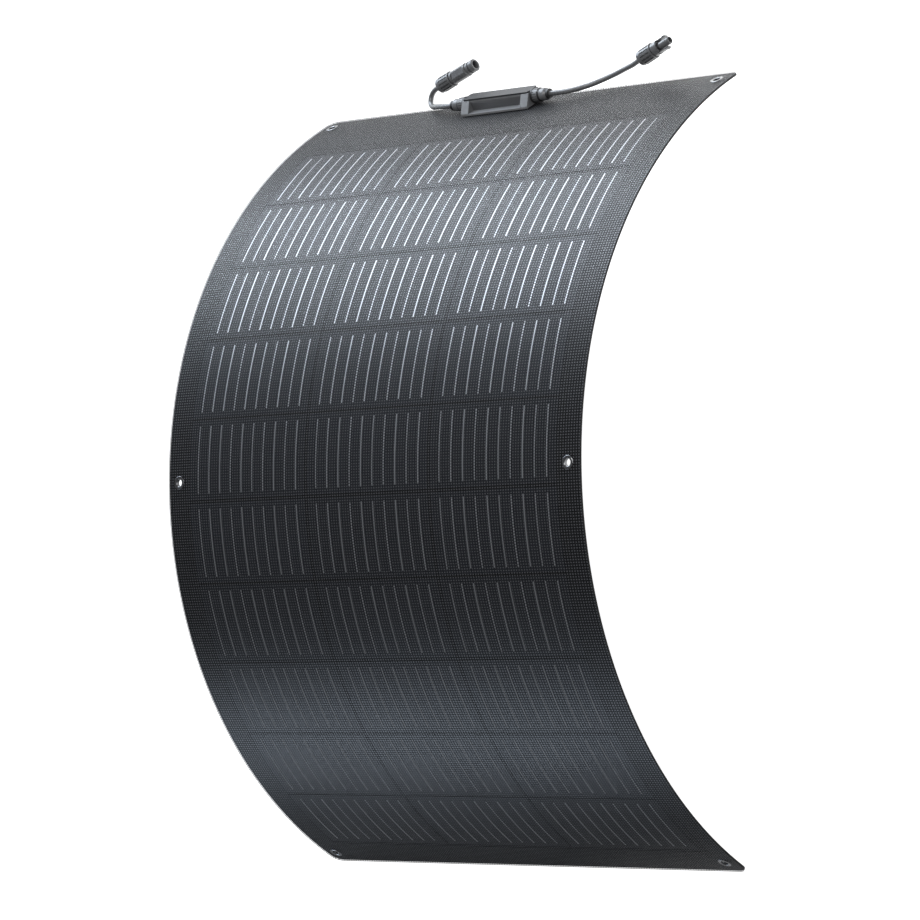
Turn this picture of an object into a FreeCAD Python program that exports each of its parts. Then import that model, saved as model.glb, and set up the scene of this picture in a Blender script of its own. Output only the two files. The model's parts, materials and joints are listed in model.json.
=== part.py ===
import FreeCAD, Part
import math
import os
import Sketcher

# A flexible solar sheet: a thin laminate with three strings of half cells, bent into an arch that
# stands on its two short edges with the cells facing the sun. A junction box is bonded near one
# short edge, and two short leads leave it sideways, droop to the ground and end in a socket and a
# plug. Millimetres, +Z up, +Y towards the edge with the junction box, +X along the short edges.
# The origin is on the ground, below the middle of the object without its leads.

Vector = FreeCAD.Vector
Placement = FreeCAD.Placement
Rotation = FreeCAD.Rotation

SIZES = {
    # the laminate, with every radius measured from the axis of the bend
    "sheet_length": 1055.0,
    "sheet_width": 612.0,
    "sheet_radius": 477.7,
    "arch_offset": -4.8,
    "film_inner_radius": 477.3,
    "ribbon_outer_radius": 477.0,
    "cell_outer_radius": 476.8,
    "cell_inner_radius": 476.55,
    "backing_outer_radius": 476.2,
    "backing_inner_radius": 475.2,
    "corner_radius": 11.0,
    "cutter_depth": 30.0,
    # the cells and their conductors; every start is measured from the edge with the junction box
    "cell_width": 182.0,
    "cell_height": 91.0,
    "column_pitch": 183.2,
    "row_pitch": 92.0,
    "first_row_start": 90.1,
    "row_count": 10,
    "ribbon_inset": 14.85,
    "ribbon_pitch": 16.92,
    "ribbon_count": 10,
    "ribbon_width": 1.4,
    "ribbon_length": 75.8,
    "bus_width": 5.0,
    "bus_gap": 3.0,
    "riser_thickness": 0.8,
    "riser_width": 6.0,
    "riser_spacing": 44.0,
    "riser_height": 7.55,
    # the eyelets
    "eyelet_side_inset": 17.0,
    "eyelet_end_inset": 21.0,
    "eyelet_hole_radius": 4.0,
    "eyelet_barrel_radius": 4.6,
    "eyelet_flange_radius": 7.4,
    "eyelet_flange_thick": 0.6,
    "eyelet_barrel_length": 3.7,
    "eyelet_curl_radius": 5.8,
    "eyelet_rim_thick": 0.3,
    "eyelet_dome_radius": 6.6,
    "washer_gap": 0.1,
    "washer_thick": 0.5,
    "sheet_hole_radius": 4.7,
    # the junction box
    "box_centre_x": -19.0,
    "box_centre_start": 24.5,
    "box_length": 100.0,
    "box_depth": 31.0,
    "box_corner": 3.0,
    "pad_thick": 0.8,
    "pad_inset": 1.0,
    "flange_thick": 2.0,
    "tub_front": 10.3,
    "tub_depth": 18.0,
    "tub_height": 14.2,
    "tub_wall": 1.6,
    "tub_floor": 2.4,
    "gusset_width": 11.0,
    "gusset_toe": 0.6,
    "gusset_toe_height": 0.6,
    "gusset_rim": 0.8,
    "lid_length": 99.6,
    "lid_depth": 18.6,
    "lid_thick": 1.8,
    "lid_bevel": 2.4,
    "lid_overhang": 0.3,
    "lid_plug_depth": 2.0,
    "lid_plug_gap": 1.4,
    "lid_plug_wall": 1.2,
    "lid_seal_gap": 0.3,
    "lid_seal_width": 1.0,
    "lid_seal_thick": 0.5,
    "rail_length": 18.0,
    "rail_depth": 9.0,
    "rail_thick": 1.0,
    "rail_offset": 22.0,
    "rail_lift": 3.45,
    "rail_post": 4.0,
    "diode_length": 16.0,
    "diode_depth": 8.0,
    "diode_thick": 3.6,
    "diode_lift": 1.6,
    "diode_leg_span": 40.0,
    "diode_leg_width": 2.0,
    "diode_leg_thick": 0.5,
    # the cable glands
    "gland_height": 8.9,
    "gland_shift": 2.5,
    "gasket_radius": 8.5,
    "gasket_thick": 2.4,
    "gland_body_radius": 8.0,
    "gland_body_length": 7.4,
    "gland_spigot_radius": 4.6,
    "gland_spigot_length": 2.7,
    "gland_thread_radius": 5.6,
    "gland_thread_length": 5.8,
    "gland_bore_radius": 3.4,
    "gland_ring_radius": 7.5,
    "gland_ring_thick": 1.6,
    "gland_nut_radius": 7.0,
    "gland_nut_length": 9.0,
    "gland_nut_clearance": 0.08,
    "gland_nut_gap": 0.1,
    "gland_nut_thread": 4.6,
    "gland_nut_dome": 2.6,
    "gland_nut_dome_inset": 1.6,
    "gland_bush_radius": 4.6,
    "gland_bush_end": 23.5,
    "gland_bush_length": 6.9,
    "gland_bush_neck": 4.2,
    "gland_bush_lip_radius": 5.6,
    "gland_bush_gap": 0.3,
    "gland_grip_count": 18,
    "gland_grip_depth": 0.5,
    "gland_grip_width": 0.9,
    "gland_grip_start": 6.0,
    "gland_grip_length": 5.6,
    # the leads
    "cable_radius": 3.0,
    "conductor_radius": 1.25,
    "cable_tail_inside": 6.0,
    "tail_in_box": 4.0,
    "conductor_in_box": 28.0,
    "cable_plug_inside": 12.0,
    # the connectors, each along its own axis from the cable end
    "nut_radius": 9.25,
    "nut_collar_radius": 8.7,
    "nut_collar_end": 5.0,
    "nut_chamfer": 1.4,
    "nut_step": 0.5,
    "nut_cone_start": 2.4,
    "nut_cone_end": 4.4,
    "nut_thread_start": 7.6,
    "nut_length": 21.5,
    "nut_bore_radius": 3.7,
    "nut_clearance": 0.08,
    "nut_grip_count": 14,
    "nut_grip_start": 6.5,
    "nut_grip_length": 13.0,
    "nut_grip_depth": 0.7,
    "nut_grip_width": 1.6,
    "thread_radius": 6.9,
    "body_radius": 7.9,
    "body_flat": 6.9,
    "body_start": 21.8,
    "housing_start": 8.0,
    "flat_start": 25.0,
    "flat_reach": 9.0,
    "socket_flat_length": 19.0,
    "socket_body_end": 46.0,
    "groove_slope": 0.8,
    "first_ring": 49.0,
    "ring_length": 2.2,
    "second_ring": 53.2,
    "socket_length": 58.7,
    "socket_bore_radius": 4.75,
    "socket_bore_start": 41.0,
    "socket_ring_radius": 7.25,
    "socket_groove_radius": 6.5,
    "contact_bore_radius": 2.6,
    "contact_barrel_radius": 2.3,
    "contact_body_radius": 1.95,
    "contact_socket_radius": 1.55,
    "contact_pin_radius": 1.45,
    "contact_collar": 22.0,
    "contact_collar_end": 24.0,
    "socket_contact_depth": 36.0,
    "socket_contact_end": 50.0,
    "pin_taper": 41.5,
    "pin_tip_radius": 0.7,
    "pin_end": 43.0,
    "grommet_radius": 5.5,
    "grommet_start": 8.4,
    "grommet_end": 12.6,
    "collet_radius": 5.2,
    "collet_gap": 0.1,
    "collet_start": 4.8,
    "collet_end": 7.8,
    "plug_length": 46.0,
    "plug_nose_radius": 4.4,
    "plug_nose_start": 29.8,
    "nose_chamfer": 0.7,
    "nose_bore_radius": 3.4,
    "nose_bore_start": 31.0,
    "ring_section_radius": 0.5,
    "o_ring_height": 30.6,
    "prong_root": 27.6,
    "prong_tip": 42.4,
    "prong_inner": 5.8,
    "prong_outer": 7.3,
    "prong_barb": 8.1,
    "prong_barb_start": 37.5,
    "prong_barb_rise": 0.9,
    "prong_barb_end": 39.6,
    "prong_half_width": 2.5,
    "prong_clearance": 0.15,
}

# Where the leads run, point by point, from inside the gland to inside the connector.
SOCKET_LEAD = [
    (-86.0, 419.25, 24.95),
    (-98.0, 419.25, 24.6),
    (-109.5, 420.0, 22.2),
    (-120.5, 421.4, 17.8),
    (-131.0, 422.6, 12.4),
    (-141.0, 424.0, 7.6),
    (-146.0, 428.2, 4.8),
    (-146.8, 434.3, 3.6),
    (-143.8, 439.8, 4.2),
    (-136.6, 443.3, 7.0),
    (-127.4, 445.9, 9.3),
]
SOCKET_AXIS = Vector(55.4, 19.4, 0.0).normalize()
PLUG_LEAD = [
    (48.5, 419.25, 24.95),
    (62.0, 419.25, 24.6),
    (76.0, 419.4, 22.8),
    (90.0, 421.6, 18.6),
    (104.0, 425.2, 12.8),
    (118.0, 430.3, 7.4),
    (131.0, 434.8, 3.9),
    (145.0, 439.4, 3.3),
    (158.8, 442.0, 5.8),
    (172.7, 446.7, 9.3),
]
PLUG_AXIS = Vector(39.2, 15.6, 0.0).normalize()

doc = FreeCAD.newDocument("FlexibleSolarSheet")
sheet = doc.addObject("Spreadsheet::Sheet", "Sizes")
for row, (alias, number) in enumerate(SIZES.items(), start=1):
    sheet.set(f"A{row}", alias)
    sheet.set(f"B{row}", str(number))
    sheet.setAlias(f"B{row}", alias)
doc.recompute()

parts = []          # the sub-parts, in the order in which they are written


# ---------------------------------------------------------------- helpers

def bound(text):
    """The expression for a sum such as "nut_radius - nut_clearance", with its cells named."""
    return " ".join("Sizes." + word if word in SIZES else word for word in text.split())


def value(text):
    """The same sum as a number, read from the spreadsheet."""
    total = 0.0
    sign = 1.0
    for word in text.split():
        if word in "+-":
            sign = 1.0 if word == "+" else -1.0
        else:
            total += sign * (float(sheet.get(word)) if word in SIZES else float(word))
    return total


def arc_degrees(text):
    """The expression for the angle that a length along the sheet's front takes up."""
    return f"({bound(text)}) / Sizes.sheet_radius * 180 / pi"


def keep(shape_object, label, placement=None):
    """Names a finished sub-part and puts it in its place."""
    shape_object.Label = label
    if placement is not None:
        shape_object.Placement = placement
    parts.append(shape_object)
    return shape_object


def primitive(kind, placement, **expressions):
    item = doc.addObject(kind, kind.split("::")[1])
    for name, text in expressions.items():
        item.setExpression(name, text)
    item.Placement = placement
    return item


def at(x, y, z):
    return Placement(Vector(x, y, z), Rotation())


def cylinder(radius, height, placement=Placement()):
    return primitive("Part::Cylinder", placement, Radius=bound(radius), Height=bound(height))


def block(length, width, height, placement=Placement()):
    return primitive("Part::Box", placement, Length=bound(length), Width=bound(width),
                     Height=bound(height))


def cut(base, tool):
    result = doc.addObject("Part::Cut", "Cut")
    result.Base = base
    result.Tool = tool
    return result


def fuse(*shapes):
    result = doc.addObject("Part::MultiFuse", "Fusion")
    result.Shapes = list(shapes)
    return result


def together(*shapes):
    result = doc.addObject("Part::Compound", "Compound")
    result.Links = list(shapes)
    return result


def new_body():
    body = doc.addObject("PartDesign::Body", "Body")
    body.AllowCompound = True
    return body


def origin_feature(body, role):
    return next(item for item in body.Origin.OriginFeatures if item.Role == role)


def outline(body, plane, loops, offset=None):
    """A fully constrained sketch: each corner of each closed loop is tied to sums of cells."""
    sketch = body.newObject("Sketcher::SketchObject", "Sketch")
    sketch.AttachmentSupport = (origin_feature(body, plane), [""])
    sketch.MapMode = "FlatFace"
    if offset is not None:
        sketch.setExpression("AttachmentOffset.Base.z", bound(offset))
    for loop in loops:
        first = sketch.GeometryCount
        corners = [Vector(value(across), value(up), 0) for across, up in loop]
        for index, corner in enumerate(corners):
            following = corners[(index + 1) % len(corners)]
            sketch.addGeometry(Part.LineSegment(corner, following), False)
        for index, texts in enumerate(loop):
            line = first + index
            before = first + (index - 1) % len(loop)
            sketch.addConstraint(Sketcher.Constraint("Coincident", before, 2, line, 1))
            for kind, text, axis in zip(("DistanceX", "DistanceY"), texts, (-2, -1)):
                if abs(value(text)) < 1e-9:
                    sketch.addConstraint(Sketcher.Constraint("PointOnObject", line, 1, axis))
                    continue
                number = sketch.addConstraint(
                    Sketcher.Constraint(kind, -1, 1, line, 1, value(text)))
                sketch.setExpression(f"Constraints[{number}]", bound(text))
    return sketch


def turned(loop):
    """A body turned about its Z axis from (radius, height) corners."""
    body = new_body()
    solid = body.newObject("PartDesign::Revolution", "Revolution")
    solid.Profile = outline(body, "XZ_Plane", [loop])
    solid.ReferenceAxis = (origin_feature(body, "Z_Axis"), [""])
    solid.Angle = 360
    body.Tip = solid
    return body


def padded(plane, loops, depth, midplane=False):
    """A body raised from flat outlines, along +Z on the XY plane."""
    body = new_body()
    pad = body.newObject("PartDesign::Pad", "Pad")
    pad.Profile = outline(body, plane, loops)
    pad.setExpression("Length", bound(depth))
    pad.Midplane = midplane
    body.Tip = pad
    return body


def grooves(body, loop, start, depth, count):
    """Cuts one straight groove into a turned body, upwards from a height, and repeats it around."""
    pocket = body.newObject("PartDesign::Pocket", "Pocket")
    pocket.Profile = outline(body, "XY_Plane", [loop], start)
    pocket.Reversed = True
    pocket.setExpression("Length", bound(depth))
    pattern = body.newObject("PartDesign::PolarPattern", "PolarPattern")
    pattern.Originals = [pocket]
    pattern.Axis = (origin_feature(body, "Z_Axis"), [""])
    pattern.Angle = 360
    pattern.setExpression("Occurrences", bound(count))
    body.Tip = pattern
    return body


def rectangle(x_from, x_to, y_from, y_to):
    return [(x_from, y_from), (x_to, y_from), (x_to, y_to), (x_from, y_to)]


# ---------------------------------------------------------------- the bend

HALF_ANGLE = math.degrees(value("sheet_length") / value("sheet_radius") / 2)
AXIS_HEIGHT = -value("backing_inner_radius") * math.cos(math.radians(HALF_ANGLE))
BEND_AXIS = Vector(0, value("arch_offset"), AXIS_HEIGHT)
Z_TO_X = Rotation(Vector(1, 1, 1), 120)       # turns a local Z axis into +X, and X into +Y


def lean(start):
    """How far, in degrees, the sheet has turned from level at a distance from the box edge."""
    return HALF_ANGLE - math.degrees(start / value("sheet_radius"))


def on_sheet(x, start, lift=0.0):
    """A place on the front of the sheet: Z is its outward normal and Y runs to the box edge."""
    turn = Rotation(Vector(1, 0, 0), -lean(start))
    outward = turn.multVec(Vector(0, 0, 1))
    return Placement(BEND_AXIS + Vector(x, 0, 0) + outward * (value("sheet_radius") + lift), turn)


def bent(outer, inner, left, across, start, along):
    """A curved strip between two radii; left and start place it, across and along size it."""
    turn = Rotation(Vector(1, 0, 0), 90 - lean(start))
    outside = cylinder(outer, across, Placement(BEND_AXIS + Vector(left, 0, 0), turn * Z_TO_X))
    # the sector opens towards the far edge, so its length along the sheet sets its angle
    outside.setExpression("Angle", arc_degrees(along))
    inside = cylinder(inner, f"{across} + 2",
                      Placement(BEND_AXIS + Vector(left - 1, 0, 0), turn * Z_TO_X))
    return cut(outside, inside)


# ---------------------------------------------------------------- places on the sheet

LENGTH = value("sheet_length")
HALF_WIDTH = value("sheet_width") / 2


def eyelet_places():
    """The six eyelets: two at each short edge and two half way along."""
    across = HALF_WIDTH - value("eyelet_side_inset")
    inset = value("eyelet_end_inset")
    return [on_sheet(sign * across, start)
            for start in (inset, LENGTH / 2, LENGTH - inset) for sign in (-1, 1)]


def corner_cutter(sign, start, outward):
    """What a rounded corner leaves out: a square block less a round one."""
    reach = value("corner_radius")
    place = on_sheet(sign * HALF_WIDTH, start)
    square = block("corner_radius + 1", "corner_radius + 1", "cutter_depth")
    square.Placement = place * at(-reach if sign > 0 else -1, -reach if outward > 0 else -1,
                                  -value("cutter_depth") / 2)
    rounded = cylinder("corner_radius", "cutter_depth + 2")
    rounded.Placement = place * at(-sign * reach, -outward * reach, -value("cutter_depth") / 2 - 1)
    return cut(square, rounded)


def laminate_cutters():
    """The four rounded corners and the six eyelet holes, which every full layer has."""
    corners = [corner_cutter(sign, start, outward)
               for start, outward in ((0, 1), (LENGTH, -1)) for sign in (-1, 1)]
    holes = [cylinder("sheet_hole_radius", "cutter_depth", place * at(0, 0, -value("cutter_depth") / 2))
             for place in eyelet_places()]
    return corners + holes


def full_layer(outer, inner, *pockets):
    layer = bent(outer, inner, -HALF_WIDTH, "sheet_width", 0, "sheet_length")
    return cut(layer, together(*cutters, *pockets))


# ---------------------------------------------------------------- cells and conductors

COLUMNS = {"left": -1, "middle": 0, "right": 1}


def column_left(column):
    return column * value("column_pitch") - value("cell_width") / 2


def rows_of(section, length, patterns=()):
    """A flat section, turned about the bend's axis and repeated in every row."""
    body = new_body()
    axis = (origin_feature(body, "X_Axis"), [""])
    piece = body.newObject("PartDesign::Revolution", "Revolution")
    piece.Profile = outline(body, "XZ_Plane", [section])
    piece.ReferenceAxis = axis
    piece.setExpression("Angle", arc_degrees(length))
    piece.Midplane = True
    repeated = body.newObject("PartDesign::MultiTransform", "MultiTransform")
    repeated.Originals = [piece]
    across = [make(body) for make in patterns]
    around = body.newObject("PartDesign::PolarPattern", "PolarPattern")
    around.Axis = axis
    around.setExpression("Angle", arc_degrees("row_pitch") + " * (Sizes.row_count - 1)")
    around.setExpression("Occurrences", "Sizes.row_count")
    repeated.Transformations = across + [around]
    body.Tip = repeated
    return body


def ribbons_across(body):
    pattern = body.newObject("PartDesign::LinearPattern", "LinearPattern")
    pattern.Direction = (origin_feature(body, "X_Axis"), [""])
    pattern.setExpression("Length", "(Sizes.ribbon_count - 1) * Sizes.ribbon_pitch")
    pattern.setExpression("Occurrences", "Sizes.ribbon_count")
    return pattern


def first_row(left):
    """Turns a pattern about the bend's axis so that its first piece lies in the first row."""
    middle = value("first_row_start") + value("cell_height") / 2
    return Placement(BEND_AXIS + Vector(left, 0, 0), Rotation(Vector(1, 0, 0), -lean(middle)))


cutters = laminate_cutters()
for name, column in COLUMNS.items():
    left = column_left(column)
    slab = rectangle("0", "cell_width", "cell_inner_radius", "cell_outer_radius")
    keep(rows_of(slab, "cell_height"), f"solar_cells_{name}", first_row(left))
    strip = rectangle("0", "ribbon_width", "cell_outer_radius", "ribbon_outer_radius")
    strip_left = left + value("ribbon_inset") - value("ribbon_width") / 2
    keep(rows_of(strip, "ribbon_length", [ribbons_across]), f"cell_ribbons_{name}",
         first_row(strip_left))


def bus(left, across, start, along):
    return bent("cell_outer_radius", "cell_inner_radius", left, across, start, along)


STRING_START = value("first_row_start")
STRING_END = STRING_START + (value("row_count") - 1) * value("row_pitch") + value("cell_height")
NEAR_LINK = STRING_START - value("bus_gap") - value("bus_width")
FEED = NEAR_LINK - value("bus_gap") - value("bus_width")
FAR_LINK = STRING_END + value("bus_gap")
BOX_X = value("box_centre_x")
RISERS = {"negative": -1, "positive": 1}
RISER_X = {pole: BOX_X + sign * value("riser_spacing") / 2 for pole, sign in RISERS.items()}
SIDE_X = column_left(1) + value("cell_width") + value("bus_gap")

keep(fuse(bus(column_left(-1), "column_pitch + cell_width", FAR_LINK, "bus_width"),
          bus(column_left(0), "column_pitch + cell_width", NEAR_LINK, "bus_width")),
     "string_links")


def feed_down(pole):
    """The end of a feed: down from the feed line to below the junction box."""
    start = value("box_centre_start")
    return bus(RISER_X[pole] - value("riser_width") / 2, "riser_width", start,
               "first_row_start - bus_gap - bus_gap - bus_width - bus_width - box_centre_start")


negative_across = "column_pitch + cell_width / 2 + box_centre_x - riser_spacing / 2"
keep(fuse(bus(column_left(-1), negative_across, FEED, "bus_width"), feed_down("negative")),
     "negative_feed")
keep(fuse(
    bus(column_left(1), "cell_width + bus_gap + bus_width", FAR_LINK, "bus_width"),
    bus(SIDE_X, "bus_width", FEED, "row_pitch * row_count + bus_gap * 3 + bus_width * 2"),
    bus(RISER_X["positive"], "column_pitch + cell_width / 2 + bus_gap + bus_width"
        " - box_centre_x - riser_spacing / 2", FEED, "bus_width"),
    feed_down("positive")), "positive_feed")

BOX = on_sheet(BOX_X, value("box_centre_start"))
riser_foot = value("cell_outer_radius") - value("sheet_radius")


def riser(pole, spare):
    """A flat lead that stands up from a feed into the junction box, or the slot for it."""
    width = value("riser_width") + 2 * spare
    thick = value("riser_thickness") + 2 * spare
    lead = block(f"riser_width + {2 * spare}", f"riser_thickness + {2 * spare}", "riser_height")
    lead.Placement = BOX * at(RISER_X[pole] - BOX_X - width / 2, -thick / 2, riser_foot)
    return lead


keep(fuse(*[riser(pole, 0.0) for pole in RISERS]), "box_risers")
slots = [riser(pole, 0.2) for pole in RISERS]

# ---------------------------------------------------------------- the laminate's layers

# the ribbons lie within the front encapsulant, and the cells and their links within the back one,
# which are whole sheets that take them in when they melt
keep(full_layer("sheet_radius", "film_inner_radius", *slots), "front_film")
keep(full_layer("film_inner_radius", "cell_outer_radius", *slots), "front_encapsulant")
keep(full_layer("cell_outer_radius", "backing_outer_radius"), "back_encapsulant")
keep(full_layer("backing_outer_radius", "backing_inner_radius"), "backing_sheet")

# ---------------------------------------------------------------- eyelets

eyelets = []
washers = []
sheet_thick = value("sheet_radius") - value("backing_inner_radius")
for place in eyelet_places():
    eyelets.append(turned([
        ("eyelet_hole_radius", "0"),
        ("eyelet_curl_radius", "0"),
        ("eyelet_curl_radius", "eyelet_flange_thick"),
        ("eyelet_barrel_radius", "eyelet_flange_thick"),
        ("eyelet_barrel_radius", "eyelet_barrel_length"),
        ("eyelet_flange_radius", "eyelet_barrel_length"),
        ("eyelet_flange_radius", "eyelet_barrel_length + eyelet_rim_thick"),
        ("eyelet_dome_radius", "eyelet_barrel_length + eyelet_flange_thick"),
        ("eyelet_hole_radius", "eyelet_barrel_length + eyelet_flange_thick"),
    ]))
    eyelets[-1].Placement = place * at(0, 0, -value("eyelet_barrel_length"))
    washers.append(turned(rectangle("sheet_hole_radius", "eyelet_flange_radius", "0", "washer_thick")))
    washers[-1].Placement = place * at(0, 0, -sheet_thick - value("washer_gap") - value("washer_thick"))
keep(fuse(*eyelets), "eyelets")
keep(fuse(*washers), "eyelet_washers")

# ---------------------------------------------------------------- junction box

pad_block = block("box_length - pad_inset - pad_inset", "box_depth - pad_inset - pad_inset",
                  "pad_thick + 1")
pad_block.Placement = BOX * at(-value("box_length") / 2 + value("pad_inset"),
                               -value("box_depth") / 2 + value("pad_inset"), -1)
sheet_front = cylinder("sheet_radius", "sheet_width",
                       Placement(BEND_AXIS - Vector(HALF_WIDTH, 0, 0), Z_TO_X))
keep(cut(pad_block, together(sheet_front, *slots)), "adhesive_pad")

BASE = BOX * at(-value("box_length") / 2, -value("box_depth") / 2, value("pad_thick"))
flange = padded("XY_Plane", [[
    ("box_corner", "0"),
    ("box_length - box_corner", "0"),
    ("box_length", "box_corner"),
    ("box_length", "box_depth - box_corner"),
    ("box_length - box_corner", "box_depth"),
    ("box_corner", "box_depth"),
    ("0", "box_depth - box_corner"),
    ("0", "box_corner"),
]], "flange_thick")
flange.Placement = BASE
tub = block("box_length", "tub_depth", "tub_height", BASE * at(0, value("tub_front"), 0))
cavity = block("box_length - tub_wall - tub_wall", "tub_depth - tub_wall - tub_wall", "tub_height",
               BASE * at(value("tub_wall"), value("tub_front + tub_wall"), value("tub_floor")))


def gusset(x):
    """A sloping end bracket between the flange's front edge and the rim of the tub."""
    bracket = padded("YZ_Plane", [[
        ("gusset_toe", "0"),
        ("tub_front", "0"),
        ("tub_front", "tub_height"),
        ("tub_front - gusset_rim", "tub_height"),
        ("gusset_toe", "flange_thick + gusset_toe_height"),
    ]], "gusset_width")
    bracket.Placement = BASE * at(x, 0, 0)
    return bracket


gussets = [gusset(0), gusset(value("box_length - gusset_width"))]
gland_axis_y = value("box_depth") / 2 + value("gland_shift")
gland_axis_z = value("gland_height") - value("pad_thick")
gland_holes = cylinder("gland_spigot_radius", "box_length + 2",
                       BASE * Placement(Vector(-1, gland_axis_y, gland_axis_z), Z_TO_X))
keep(cut(fuse(flange, tub, *gussets), together(cavity, gland_holes, *slots)), "junction_box_body")

# the lid: a plate with bevelled corners, and a rim below it that plugs into the tub
LID = BASE * at((value("box_length") - value("lid_length")) / 2, value("tub_front - lid_overhang"),
                value("tub_height"))
plate = padded("XY_Plane", [[
    ("lid_bevel", "0"),
    ("lid_length - lid_bevel", "0"),
    ("lid_length", "lid_bevel"),
    ("lid_length", "lid_depth - lid_bevel"),
    ("lid_length - lid_bevel", "lid_depth"),
    ("lid_bevel", "lid_depth"),
    ("0", "lid_depth - lid_bevel"),
    ("0", "lid_bevel"),
]], "lid_thick")
plate.Placement = LID


def rim(inset, wall, thick, place):
    """A rectangular ring inside the tub's mouth, hanging down from the lid."""
    outer = block(f"box_length - {2 * inset}", f"tub_depth - {2 * inset}", thick)
    inner = block(f"box_length - {2 * (inset + wall)}", f"tub_depth - {2 * (inset + wall)}",
                  f"{thick} + 2")
    outer.Placement = place * at(inset, inset, -value(thick))
    inner.Placement = place * at(inset + wall, inset + wall, -value(thick) - 1)
    return cut(outer, inner)


TUB_TOP = BASE * at(0, value("tub_front"), value("tub_height"))
plug_inset = value("tub_wall + lid_plug_gap")
keep(fuse(plate, rim(plug_inset, value("lid_plug_wall"), "lid_plug_depth", TUB_TOP)),
     "junction_box_lid")
seal_inset = value("tub_wall + lid_seal_gap")
keep(rim(seal_inset, value("lid_seal_width"), "lid_seal_thick", TUB_TOP), "lid_seal")

# inside the box: two terminal rails on posts and a bypass diode between them
INSIDE = BOX * at(0, 0, value("pad_thick + tub_floor"))
rail_y = value("gland_shift")
for pole, sign in RISERS.items():
    rail = block("rail_length", "rail_depth", "rail_thick")
    rail.Placement = INSIDE * at(sign * value("rail_offset") - value("rail_length") / 2,
                                 rail_y - value("rail_depth") / 2, value("rail_lift"))
    post = block("rail_post", "rail_post", "rail_lift")
    post.Placement = INSIDE * at(sign * value("rail_offset") - value("rail_post") / 2,
                                 rail_y - value("rail_post") / 2, 0)
    keep(fuse(rail, post), f"terminal_rail_{pole}")
diode = block("diode_length", "diode_depth", "diode_thick")
diode.Placement = INSIDE * at(-value("diode_length") / 2, rail_y - value("diode_depth") / 2,
                              value("diode_lift"))
legs = block("diode_leg_span", "diode_leg_width", "diode_leg_thick")
legs.Placement = INSIDE * at(-value("diode_leg_span") / 2, rail_y - value("diode_leg_width") / 2,
                             value("rail_lift + rail_thick"))
keep(fuse(diode, legs), "bypass_diode")

# ---------------------------------------------------------------- cable glands

GLAND_AT = BOX * at(0, value("gland_shift"), value("gland_height"))
SIDES = {"socket": -1, "plug": 1}


def gland_place(sign):
    """The gland's own frame: Z runs out of the box along the lead."""
    turn = Rotation(Vector(0, 1, 0), 90 * sign)
    return GLAND_AT * Placement(Vector(sign * value("box_length") / 2, 0, 0), turn)


def gripped(body, radius, start, length, prefix):
    """Cuts the finger grip into a turned body."""
    width = f"{prefix}_grip_width"
    loop = [
        (f"{radius} - {prefix}_grip_depth", "0"),
        (f"{radius} + 1", "0"),
        (f"{radius} + 1", width),
        (f"{radius} - {prefix}_grip_depth", width),
    ]
    return grooves(body, loop, start, length, f"{prefix}_grip_count")


def gland_body():
    body = turned([
        ("gland_bore_radius", "0"),
        ("gland_spigot_radius", "0"),
        ("gland_spigot_radius", "gland_spigot_length + gasket_thick"),
        ("gland_body_radius", "gland_spigot_length + gasket_thick"),
        ("gland_body_radius", "gland_spigot_length + gasket_thick + gland_body_length"),
        ("gland_thread_radius", "gland_spigot_length + gasket_thick + gland_body_length"),
        ("gland_thread_radius",
         "gland_spigot_length + gasket_thick + gland_body_length + gland_thread_length"),
        ("gland_bore_radius",
         "gland_spigot_length + gasket_thick + gland_body_length + gland_thread_length"),
    ])
    return gripped(body, "gland_body_radius", "gland_grip_start", "gland_grip_length", "gland")


def gland_nut():
    return turned([
        ("gland_thread_radius + gland_nut_clearance", "0"),
        ("gland_nut_radius", "0"),
        ("gland_nut_radius", "gland_nut_length - gland_nut_dome"),
        ("gland_nut_radius - gland_nut_dome_inset", "gland_nut_length"),
        ("gland_bush_radius + gland_bush_gap", "gland_nut_length"),
        ("gland_bush_radius + gland_bush_gap", "gland_nut_thread"),
        ("gland_thread_radius + gland_nut_clearance", "gland_nut_thread"),
    ])


def gland_bush():
    return turned([
        ("cable_radius", "0"),
        ("gland_bush_radius", "0"),
        ("gland_bush_radius", "gland_bush_neck"),
        ("gland_bush_lip_radius", "gland_bush_neck"),
        ("gland_bush_lip_radius", "gland_bush_length"),
        ("cable_radius", "gland_bush_length"),
    ])


BODY_END = value("gasket_thick + gland_body_length")
NUT_START = BODY_END + value("gland_ring_thick + gland_nut_gap")
BUSH_START = value("gland_bush_end - gland_bush_length")
for side, sign in SIDES.items():
    place = gland_place(sign)
    keep(turned(rectangle("gland_spigot_radius", "gasket_radius", "0", "gasket_thick")),
         f"{side}_gland_gasket", place)
    keep(gland_body(), f"{side}_gland_body", place * at(0, 0, -value("gland_spigot_length")))
    keep(turned(rectangle("gland_thread_radius", "gland_ring_radius", "0", "gland_ring_thick")),
         f"{side}_gland_ring", place * at(0, 0, BODY_END))
    keep(gland_nut(), f"{side}_gland_nut", place * at(0, 0, NUT_START))
    keep(gland_bush(), f"{side}_gland_bush", place * at(0, 0, BUSH_START))
    sheath = cylinder("cable_radius", "gland_bush_end - cable_tail_inside + tail_in_box")
    bore = cylinder("conductor_radius", "gland_bush_end - cable_tail_inside + tail_in_box + 2",
                    at(0, 0, -1))
    keep(cut(sheath, bore), f"{side}_lead_tail", place * at(0, 0, -value("tail_in_box")))
    keep(cylinder("conductor_radius", "gland_bush_end - cable_tail_inside + conductor_in_box"),
         f"{side}_lead_conductor", place * at(0, 0, -value("conductor_in_box")))

# ---------------------------------------------------------------- the leads


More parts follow.
